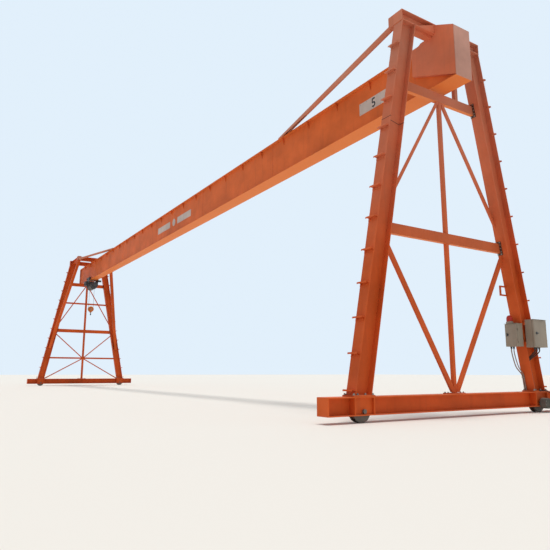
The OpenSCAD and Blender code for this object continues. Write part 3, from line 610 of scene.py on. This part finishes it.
# Welds along the webs' edges, across them where plates meet, and beside the gussets
seams = Shape()
for side in SIDES:
    y = side * (WEB_Y + 0.0005)
    for z in (GIRDER_LOW + GIRDER_FLANGE_T, GIRDER_TOP - GIRDER_FLANGE_T):
        seams.weld((-WEB_END, y, z), (WEB_END, y, z), 0.006, 0.06)
    for x in BUTT_SEAMS:
        seams.weld((x, y, GIRDER_LOW + 0.020), (x, y, GIRDER_TOP - 0.020), 0.004, 0.012)
    y = side * WEB_Y
    for i in range(GUSSET_COUNT):
        for dx in (-0.004, 0.004):
            x = FIRST_GUSSET + GUSSET_PITCH * i + dx
            seams.weld((x, y, GIRDER_TOP - 0.20), (x, y, GIRDER_TOP - 0.02), 0.004, 0.015)
seams.piece("girder_welds", weld_metal, smooth=True)

end_seams = Shape()
for end in SIDES:
    x = end * END_PLATE_FACE
    for z in (GIRDER_LOW + 0.008, GIRDER_TOP - 0.008):
        end_seams.weld((x, -FLANGE_Y, z), (x, FLANGE_Y, z), 0.005, 0.012)
    for side in SIDES:
        y = side * WEB_Y
        end_seams.weld((x, y, GIRDER_LOW + GIRDER_FLANGE_T), (x, y, GIRDER_TOP - GIRDER_FLANGE_T),
                       0.005, 0.012)
end_seams.piece("end_welds", weld_metal, smooth=True)

# Knees in the near saddle's recess beside the girder, and nuts over the girder in each saddle
INNER_SADDLE_X = -10.68
knees, saddle_bolts = Shape(), Shape()
knee = [(0.197, 6.473), (0.600, 6.473), (0.197, 6.637)]
turn_x = Matrix(((0, 0, 1, 0), (1, 0, 0, 0), (0, 1, 0, 0), (0, 0, 0, 1)))
for side in SIDES:
    outline = [(side * y, z) for y, z in knee]
    if side < 0:
        outline.reverse()
    knees.prism(outline, 0.008, Matrix.Translation((NEAR_X + 0.086, 0, 0)) @ turn_x)
# The knees wear the near saddle's brighter orange, painted light against their shade
knees.piece("saddle_knees", lit_haunch_orange, slot="orange_paint", bevel=0.0008)
for x in (NEAR_X, FAR_X, INNER_SADDLE_X):
    for dx, dy in four_corners(0.065, 0.165):
        saddle_bolts.nut((x + dx, dy, NUT_FLOOR), UP, SADDLE_BOLT)
saddle_bolts.piece("saddle_bolts", zinc)

# Welded rings where the stays leave their boxes; each stay is given by its two ends
STAYS = (((12.430, 0.895, 6.505), (7.790, 0.145, 6.440)),
         ((-10.460, 0.845, 6.505), (-7.000, 0.100, 6.440)))
rings = Shape()
for start, finish in STAYS:
    for side in SIDES:
        a = Vector((start[0], side * start[1], start[2]))
        b = Vector((finish[0], side * finish[1], finish[2]))
        way = (b - a).normalized()
        look = look_along(a + way * 0.004, way)
        rings.lathe([(0.056, 0.0), (0.058, 0.004), (0.052, 0.010)], 40, look)
rings.piece("stay_rings", weld_metal, smooth=True)

# Number on the capacity plate, a plain figure cut from thin sheet
FIGURE_X, FIGURE_Z, FIGURE_H, FIGURE_T = 11.100, 5.934, 0.190, 0.0012
STROKE, BOWL_R, BOWL_STEPS = 0.031, 0.058, 20
BOWL_FROM, BOWL_TURN = -140, 275
figure = Shape()
h = FIGURE_H / 2
bowl_at = (-0.004, -h + BOWL_R)
bowl = [math.radians(BOWL_FROM + BOWL_TURN * k / BOWL_STEPS) for k in range(BOWL_STEPS + 1)]
for side in SIDES:
    face = side * (WEB_Y + 0.0031)
    facing = Matrix.Translation((FIGURE_X, face, FIGURE_Z)) @ (
        Matrix.Rotation(math.pi / 2, 4, "X") if side < 0 else
        Matrix.Rotation(math.pi, 4, "Z") @ Matrix.Rotation(math.pi / 2, 4, "X"))
    for a0, a1 in zip(bowl, bowl[1:]):
        inside = BOWL_R - STROKE
        quad = [(bowl_at[0] + r * math.cos(a), bowl_at[1] + r * math.sin(a))
                for r, a in ((inside, a0), (BOWL_R, a0), (BOWL_R, a1), (inside, a1))]
        figure.prism(quad, FIGURE_T, facing)
    figure.prism([(-0.046, 0.000), (-0.020, 0.000), (-0.016, h), (-0.042, h)],
                 FIGURE_T * 1.05, facing)
    figure.prism([(-0.042, h - STROKE), (0.046, h - STROKE), (0.046, h), (-0.042, h)],
                 FIGURE_T * 1.1, facing)
figure.piece("capacity_figure", black_ink)

# Plates on the webs: both ends along the girder, bottom and top, and the side that they are on
PLATES = ((10.685, 11.515, 5.809, 6.059, -1), (1.040, 2.210, 5.809, 6.039, -1),
          (-0.850, 0.370, 5.809, 6.039, -1), (10.685, 11.515, 5.809, 6.059, 1),
          (-2.210, -1.040, 5.809, 6.039, 1), (-0.370, 0.850, 5.809, 6.039, 1))
rivets = Shape()
for x0, x1, z0, z1, side in PLATES:
    for k in range(5):
        x = x0 + 0.03 + (x1 - x0 - 0.06) * k / 4
        for z in (z0 + 0.022, z1 - 0.022):
            look = look_along((x, side * (WEB_Y + 0.003), z), (0, side, 0))
            rivets.lathe([(0.009, 0.0), (0.008, 0.003), (0.004, 0.005)], 12, look)
rivets.piece("plate_rivets", zinc, smooth=True)


# ------------------------------------------------------------ cabinets, lamp

# The left door faces -Y and the right one +X; these are the planes of their fronts
LEFT_FRONT, RIGHT_FRONT = 1.465, 12.940
left_lock, right_lock = Shape(), Shape()
look = look_along((12.585, LEFT_FRONT, 1.330), (0, -1, 0))
left_lock.lathe([(0.020, 0.0), (0.020, 0.004), (0.016, 0.006)], 28, look)
left_lock.lathe([(0.010, 0.005), (0.010, 0.016), (0.007, 0.018)], 20, look)
left_lock.box((-0.006, -0.030, 0.014), (0.006, 0.030, 0.020), look)
look = look_along((RIGHT_FRONT, 1.770, 1.350), (1, 0, 0))
right_lock.lathe([(0.024, 0.0), (0.024, 0.004), (0.019, 0.007)], 28, look)
right_lock.lathe([(0.012, 0.006), (0.012, 0.018), (0.009, 0.020)], 20, look)
right_lock.box((-0.034, -0.007, 0.016), (0.034, 0.007, 0.022), look)
left_lock.piece("left_door_lock", machine, body="left_cabinet_door", slot="machine_paint",
                smooth=True)
right_lock.piece("right_door_lock", machine, body="right_cabinet_door", slot="machine_paint",
                 smooth=True)

RIM_BAR, RIM_SINK, RIM_OUT = 0.006, 0.001, 0.0022


def rim(shape, matrix, w, h):
    """Raised frame of four bars about the origin of matrix, w by h, standing out along its Z."""
    x, y = w / 2, h / 2
    for low, high in (((-x, -y), (x, -y + RIM_BAR)), ((-x, y - RIM_BAR), (x, y)),
                      ((-x, -y + RIM_BAR), (-x + RIM_BAR, y - RIM_BAR)),
                      ((x - RIM_BAR, -y + RIM_BAR), (x, y - RIM_BAR))):
        shape.box((*low, -RIM_SINK), (*high, RIM_OUT), matrix)


# Rims pressed in the doors' fronts
left_rim, right_rim = Shape(), Shape()
to_left = Matrix.Translation((12.650, LEFT_FRONT, 1.3195)) @ Matrix.Rotation(math.pi / 2, 4, "X")
to_right = (Matrix.Translation((RIGHT_FRONT, 1.878, 1.3445)) @ Matrix.Rotation(math.pi / 2, 4, "Z")
            @ Matrix.Rotation(math.pi / 2, 4, "X"))
rim(left_rim, to_left, 0.190, 0.355)
rim(right_rim, to_right, 0.335, 0.430)
left_rim.piece("left_door_rim", pale_grey, body="left_cabinet_door", slot="pale_grey_paint",
               bevel=0.0008)
right_rim.piece("right_door_rim", pale_grey, body="right_cabinet_door", slot="pale_grey_paint",
                bevel=0.0008)

# Cable glands under the cabinets, their cables and the clamps that hold them to the leg
LEFT_UNDER, RIGHT_UNDER = 1.125, 1.110
RIGHT_GLAND_X = 12.850
glands, cables, conduits, clamps = Shape(), Shape(), Shape(), Shape()


def gland(x, y, z):
    """Hexagon and nipple hanging from a cabinet's underside."""
    look = look_along((x, y, z), (0, 0, -1))
    glands.lathe([(0.019, -0.002), (0.019, 0.010)], 6, look)
    glands.lathe([(0.016, 0.008), (0.016, 0.030), (0.012, 0.036)], 20, look)


def curve(points, count=9):
    """Smooth path through points by Catmull-Rom pieces."""
    pts = [Vector(p) for p in points]
    pts = [2 * pts[0] - pts[1]] + pts + [2 * pts[-1] - pts[-2]]
    out = []
    for i in range(1, len(pts) - 2):
        p0, p1, p2, p3 = pts[i - 1:i + 3]
        for k in range(count):
            t = k / count
            out.append(0.5 * ((2 * p1) + (p2 - p0) * t + (2 * p0 - 5 * p1 + 4 * p2 - p3) * t * t
                              + (3 * p1 - p0 - 3 * p2 + p3) * t ** 3))
    out.append(pts[-2])
    return out


def inner_face(z, dx, out):
    """Point on the near right leg's inner flange, out from its face."""
    return off_leg(NEAR_X, 1, dx, -LEG_HALF - out, up_leg(z))


for k, (dx, radius) in enumerate(((-0.082, 0.0100), (-0.054, 0.0085))):
    y_out = 1.572 + 0.030 * k
    gland(NEAR_X + dx, y_out, LEFT_UNDER)
    path = [(NEAR_X + dx, y_out, 1.100), (NEAR_X + dx, y_out - 0.002, 1.040),
            (NEAR_X + dx, y_out + 0.030, 0.920), (NEAR_X + dx, y_out + 0.098, 0.770)]
    path += [inner_face(z, dx, 0.004 + radius) for z in (0.64, 0.50, 0.42)]
    path.append(inner_face(0.374, dx, 0.006 + radius))
    conduits.tube(curve(path), radius, 10)
for z in (0.60, 0.43):
    s = up_leg(z)
    clamps.box((-0.094, -LEG_HALF - 0.0225, s - 0.008), (-0.044, -LEG_HALF - CLEAR, s + 0.008),
               leg_matrix(NEAR_X, 1))
for k, (y, radius) in enumerate(((1.820, 0.012), (1.880, 0.010), (1.950, 0.010))):
    gland(RIGHT_GLAND_X, y, RIGHT_UNDER)
    path = [(RIGHT_GLAND_X, y, 1.084), (RIGHT_GLAND_X, y, 1.046), (12.800, y - 0.010, 0.990)]
    path += [(NEAR_X + 0.022 + 0.026 * k, leg_y(z) - 0.110, z)
             for z in (0.88, 0.76, 0.60, 0.48, 0.385)]
    cables.tube(curve(path), radius, 10)
glands.piece("cable_glands", machine, slot="machine_paint")
cables.piece("cabinet_cables", sprayed_cable, smooth=True)
conduits.piece("sill_conduits", conduit, smooth=True)
clamps.piece("cable_clamps", zinc, bevel=0.001)

# Bolts through the backs of both cabinets into their brackets
cabinet_bolts = Shape()
for x in (12.600, 12.700):
    for z in (1.195, 1.455):
        cabinet_bolts.bolt((x, 1.6455, z), (0, 1, 0), 0.008)
for y in (1.720, 2.036):
    for z in (1.180, 1.520):
        cabinet_bolts.bolt((12.7502, y, z), (-1, 0, 0), 0.010)
cabinet_bolts.piece("cabinet_bolts", zinc)

# The lamp's collar and the ribs of its lens
LENS_R = 0.0500
lamp_base, lamp_ribs = Shape(), Shape()
lamp = Matrix.Translation((12.600, 1.528, 1.5258))
lamp_base.lathe([(0.0625, 0.0), (0.0625, 0.020), (0.0605, 0.0315), (0.0535, 0.0345),
                 (0.0515, 0.040)], 48, lamp)
lamp_base.piece("beacon_base", pale_grey, slot="pale_grey_paint", smooth=True)
for a in round_turn(18):
    at = lamp @ Vector((LENS_R * math.cos(a), LENS_R * math.sin(a), 0.0))
    lamp_ribs.tube([(at.x, at.y, at.z + 0.038), (at.x, at.y, at.z + 0.098)], 0.0022, 6)
lamp_ribs.piece("beacon_ribs", red_lens, slot="beacon_lens", smooth=True)


# --------------------------------------------------------------- travel drives

CASE_FACE = 0.236  # from the frame's plane to the outer face of the gear case
MOTOR_Y = FOOT_Y + 0.140
CASE_BOLT_R, CASE_BOLT_START = 0.078, 0.3
FIN_IN, FIN_OUT, FIN_HALF = 0.072, 0.086, 0.0018
drive_bolts, fins, fan_covers, drive_leads = Shape(), Shape(), Shape(), Shape()
for x, out in FRAMES:
    face = x + out * CASE_FACE
    for a in round_turn(8):
        y = FOOT_Y + CASE_BOLT_R * math.cos(a + CASE_BOLT_START)
        z = AXLE_Z + CASE_BOLT_R * math.sin(a + CASE_BOLT_START)
        if y < FOOT_Y + 0.055:  # the motor covers the others
            drive_bolts.bolt((face, y, z), (out, 0, 0), 0.012)
    start = face + out * 0.001
    for a in round_turn(28):
        if math.sin(a) > 0.80:  # the terminal box stands there
            continue
        turn_fin = Matrix.Translation((start, MOTOR_Y, AXLE_Z)) @ Matrix.Rotation(a, 4, "X")
        low_x, high_x = sorted((out * 0.028, out * 0.165))
        fins.box((low_x, FIN_IN, -FIN_HALF), (high_x, FIN_OUT, FIN_HALF), turn_fin)
    look = look_along((start + out * 0.172, MOTOR_Y, AXLE_Z), (out, 0, 0))
    fan_covers.lathe([(0.0765, 0.0), (0.0775, 0.004), (0.0775, 0.052), (0.070, 0.062),
                      (0.030, 0.0645)], 40, look)
    look = look_along((start, MOTOR_Y, AXLE_Z), (out, 0, 0))
    fan_covers.lathe([(0.0785, 0.0), (0.0785, 0.014), (0.0765, 0.016)], 40, look)
    box_x = start + out * 0.115
    lead = [(box_x, MOTOR_Y - 0.045, AXLE_Z + 0.082), (box_x, MOTOR_Y - 0.080, AXLE_Z + 0.084),
            (box_x - out * 0.02, MOTOR_Y - 0.125, AXLE_Z + 0.120),
            (box_x - out * 0.09, FOOT_Y - 0.04, AXLE_Z + 0.205),
            (x + out * 0.104, FOOT_Y - 0.060, SILL_TOP + 0.016)]
    drive_leads.tube(curve(lead), 0.008, 10)
drive_bolts.piece("drive_bolts", zinc)
fins.piece("travel_motor_fins", drive_grey)
fan_covers.piece("travel_fan_covers", drive_grey, smooth=True)
drive_leads.piece("drive_leads", black_rubber, smooth=True)


# ----------------------------------------------------------------- rope hoist

DRUM_Z, HOIST_X, HOOK_Z = 5.180, -11.000, 3.970

# Rope wound on the drum between two flanges
TURNS, TURN_STEPS, TURN_PITCH, WOUND_R, ROPE_R = 26, 24, 0.0155, 0.1665, 0.0065
drum_rope = Shape()
helix = []
for k in range(TURNS * TURN_STEPS + 1):
    a = 2 * math.pi * k / TURN_STEPS
    helix.append((HOIST_X - TURNS * TURN_PITCH / 2 + TURN_PITCH * k / TURN_STEPS,
                  WOUND_R * math.cos(a), DRUM_Z + WOUND_R * math.sin(a)))
drum_rope.tube(helix, ROPE_R, 6)
for k in (-1, 1):
    look = look_along((HOIST_X + k * 0.300, 0, DRUM_Z), (k, 0, 0))
    drum_rope.lathe([(0.178, 0.0), (0.178, 0.010), (0.172, 0.013)], 48, look)
drum_rope.piece("drum_rope", rope_steel, body="hoist", slot="rope_steel", smooth=True)

# Motor fins, rings at the drum's ends, and the trolley's axle ends and bolts
MOTOR_FROM, GEARBOX_BOLT_R = 0.321, 0.138
SIDE_PLATE_Y, TROLLEY_AXLE_X, TROLLEY_AXLE_Z = 0.232, 0.168, 5.587
hoist_parts, hoist_bolts = Shape(), Shape()
for a in round_turn(36):
    turn_fin = Matrix.Translation((HOIST_X + MOTOR_FROM, 0, DRUM_Z)) @ Matrix.Rotation(a, 4, "X")
    hoist_parts.box((0.030, 0.136, -0.0022), (0.225, 0.156, 0.0022), turn_fin)
for dx, way, r in ((MOTOR_FROM, 1, 0.150), (0.556, 1, 0.150), (-0.322, -1, 0.163)):
    look = look_along((HOIST_X + dx, 0, DRUM_Z), (way, 0, 0))
    hoist_parts.lathe([(r, 0.0), (r + 0.002, 0.004), (r, 0.022)], 48, look)
for a in round_turn(10):
    y, z = GEARBOX_BOLT_R * math.cos(a), DRUM_Z + GEARBOX_BOLT_R * math.sin(a)
    hoist_bolts.bolt((HOIST_X - 0.451, y, z), (-1, 0, 0), 0.012)
for side in SIDES:
    out = (0, side, 0)
    for dx in (-TROLLEY_AXLE_X, TROLLEY_AXLE_X):
        look = look_along((HOIST_X + dx, side * SIDE_PLATE_Y, TROLLEY_AXLE_Z), out)
        hoist_parts.lathe([(0.030, 0.0), (0.030, 0.016), (0.022, 0.020)], 28, look)
        hoist_bolts.nut((HOIST_X + dx, side * 0.251, TROLLEY_AXLE_Z), out, 0.018)
    for dx in (-0.220, 0.220):
        for dz in (0.050, 0.190):
            hoist_bolts.bolt((HOIST_X + dx, side * SIDE_PLATE_Y, DRUM_Z + dz), out, 0.014)

# Control box on the left side plate and the small travel motor on the right one
hoist_parts.box((HOIST_X - 0.240, -0.372, DRUM_Z + 0.020),
                (HOIST_X + 0.100, -0.233, DRUM_Z + 0.245))
look = look_along((HOIST_X + 0.168, 0.252, 5.470), (0, 1, 0))
hoist_parts.lathe([(0.060, 0.0), (0.060, 0.030), (0.052, 0.034), (0.052, 0.150), (0.044, 0.165)],
                  32, look)
hoist_parts.box((HOIST_X + 0.100, SIDE_PLATE_Y, 5.400), (HOIST_X + 0.236, 0.256, 5.640))
hoist_parts.piece("hoist_fittings", machine, body="hoist", slot="machine_paint", bevel=0.002)
hoist_bolts.piece("hoist_bolts", zinc, body="hoist")

# Twisted falls of rope from the hook block up to the top of the CAD rope, which they stand in for
ROPE_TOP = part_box("rope")[1].z
FALL_Y, FALL_STEPS = 0.120, 150
STRANDS, STRAND_AT, STRAND_R, LAY = 6, 0.0043, 0.0024, 0.085
falls = Shape()
for side in SIDES:
    for strand in range(STRANDS):
        path = []
        for k in range(FALL_STEPS + 1):
            z = HOOK_Z + (ROPE_TOP - HOOK_Z) * k / FALL_STEPS
            a = 2 * math.pi * (strand / STRANDS + (z - HOOK_Z) / LAY)
            path.append((HOIST_X + STRAND_AT * math.cos(a),
                         side * FALL_Y + STRAND_AT * math.sin(a), z))
        falls.tube(path, STRAND_R, 5)
rope_falls = falls.piece("rope_falls", rope_steel, body=None, slot="rope_steel", smooth=True)
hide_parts("rope")
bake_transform(rope_falls)

# The sheave's axle ends, the bolts of the block's cheeks and the collar under it
CHEEK_X = 0.045
block_bolts, hook_collar = Shape(), Shape()
for out in SIDES:
    look = look_along((HOIST_X + out * CHEEK_X, 0, HOOK_Z), (out, 0, 0))
    block_bolts.lathe([(0.034, 0.0), (0.034, 0.010), (0.026, 0.013)], 28, look)
    block_bolts.bolt((HOIST_X + out * 0.058, 0, HOOK_Z), (out, 0, 0), 0.024)
    for y, z in ((-0.092, 3.985), (0.092, 3.985), (-0.030, 3.860), (0.030, 3.860), (0.0, 4.085)):
        block_bolts.bolt((HOIST_X + out * CHEEK_X, y, z), (out, 0, 0), 0.012)
block_bolts.piece("hook_block_bolts", zinc, body="hook_block")
hook_collar.lathe([(0.030, 0.0), (0.034, 0.004), (0.034, 0.012), (0.028, 0.016)], 32,
                  Matrix.Translation((HOIST_X, 0, 3.7860)))
hook_collar.piece("hook_nut", worn_steel, body="hook", slot="machine_paint", smooth=True)


# -------------------------------------------------------- softened plate edges

SOFT_EDGES = {
    "stay_brackets": 0.010,
    "near_wide_ties": 0.005,
    "near_center_post": 0.004,
    "far_center_post": 0.005,
    "far_ties": 0.004,
    "left_cabinet": 0.003,
    "right_cabinet": 0.003,
    "left_cabinet_door": 0.003,
    "right_cabinet_door": 0.003,
    "travel_gear_cases": 0.004,
    "hoist_trolley": 0.003,
    "near_braces": 0.0015,
}
for name, width in SOFT_EDGES.items():
    soften(NODES[name], width)


# ---------------------------------------------------------------- the camera

CAMERA_AT = Vector((18.542, -7.125, 0.670))
YAW, PITCH, ROLL = math.radians(32.269), math.radians(10.141), math.radians(0.066)
LENS_MM, SENSOR_MM = 35.77, 36.0

camera_data = bpy.data.cameras.new("camera")
camera = bpy.data.objects.new("camera", camera_data)
bpy.context.scene.collection.objects.link(camera)
bpy.context.scene.camera = camera
camera_data.sensor_width = SENSOR_MM
camera_data.lens = LENS_MM
camera_data.clip_start = 0.1
camera_data.clip_end = 500.0
ahead = Vector((-math.cos(YAW) * math.cos(PITCH), math.sin(YAW) * math.cos(PITCH),
                math.sin(PITCH)))
right = Vector((math.sin(YAW), math.cos(YAW), 0.0))
turn = Matrix((right, right.cross(ahead), -ahead)).transposed().to_4x4()
camera.matrix_world = Matrix.Translation(CAMERA_AT) @ turn @ Matrix.Rotation(ROLL, 4, "Z")


# ------------------------------------------------------- floor, sky and light

FLOOR_HALF = 160.0
FLOOR_TONE = (0.78, 0.755, 0.71, 1.0)
SKY_LIGHT, SKY_LIGHT_TONE = 0.52, (0.93, 0.96, 1.0, 1.0)
SKY_SEEN_TONE = (0.76, 0.87, 0.97, 1.0)
SUN_ENERGY, SUN_ANGLE, SUN_TONE = 2.1, math.radians(12), (1.0, 0.97, 0.92)
SUN_FROM = Vector((0.06, 0.06, 0.98))

floor_mesh = bpy.data.meshes.new("floor")
floor_mesh.from_pydata([(-FLOOR_HALF, -FLOOR_HALF, 0), (FLOOR_HALF, -FLOOR_HALF, 0),
                        (FLOOR_HALF, FLOOR_HALF, 0), (-FLOOR_HALF, FLOOR_HALF, 0)],
                       [], [(0, 1, 2, 3)])
floor = bpy.data.objects.new("floor", floor_mesh)
bpy.context.scene.collection.objects.link(floor)
floor_material, floor_nodes, _ = new_material("floor")
floor_nodes["Principled BSDF"].inputs["Base Color"].default_value = FLOOR_TONE
floor_nodes["Principled BSDF"].inputs["Roughness"].default_value = 0.9
floor_mesh.materials.append(floor_material)

world = bpy.data.worlds.new("studio")
bpy.context.scene.world = world
world.use_nodes = True
sky_nodes, sky_links = world.node_tree.nodes, world.node_tree.links
sky_nodes.clear()
light_side = sky_nodes.new("ShaderNodeBackground")
light_side.inputs["Color"].default_value = SKY_LIGHT_TONE
light_side.inputs["Strength"].default_value = SKY_LIGHT
seen_side = sky_nodes.new("ShaderNodeBackground")
seen_side.inputs["Color"].default_value = SKY_SEEN_TONE
seen_side.inputs["Strength"].default_value = 1.0
ray = sky_nodes.new("ShaderNodeLightPath")
seen = ray.outputs["Is Camera Ray"]
for kind in ("Is Glossy Ray", "Is Transmission Ray"):
    seen = compute(sky_nodes, sky_links, "MAXIMUM", seen, ray.outputs[kind])
choose = sky_nodes.new("ShaderNodeMixShader")
sky_links.new(seen, choose.inputs["Fac"])
sky_links.new(light_side.outputs[0], choose.inputs[1])
sky_links.new(seen_side.outputs[0], choose.inputs[2])
sky_out = sky_nodes.new("ShaderNodeOutputWorld")
sky_links.new(choose.outputs[0], sky_out.inputs["Surface"])

sun_data = bpy.data.lights.new("sun", "SUN")
sun_data.energy = SUN_ENERGY
sun_data.angle = SUN_ANGLE
sun_data.color = SUN_TONE
sun = bpy.data.objects.new("sun", sun_data)
bpy.context.scene.collection.objects.link(sun)
sun.rotation_mode = "QUATERNION"
sun.rotation_quaternion = (-SUN_FROM).to_track_quat("-Z", "Y")

bpy.context.scene.view_settings.view_transform = "Standard"
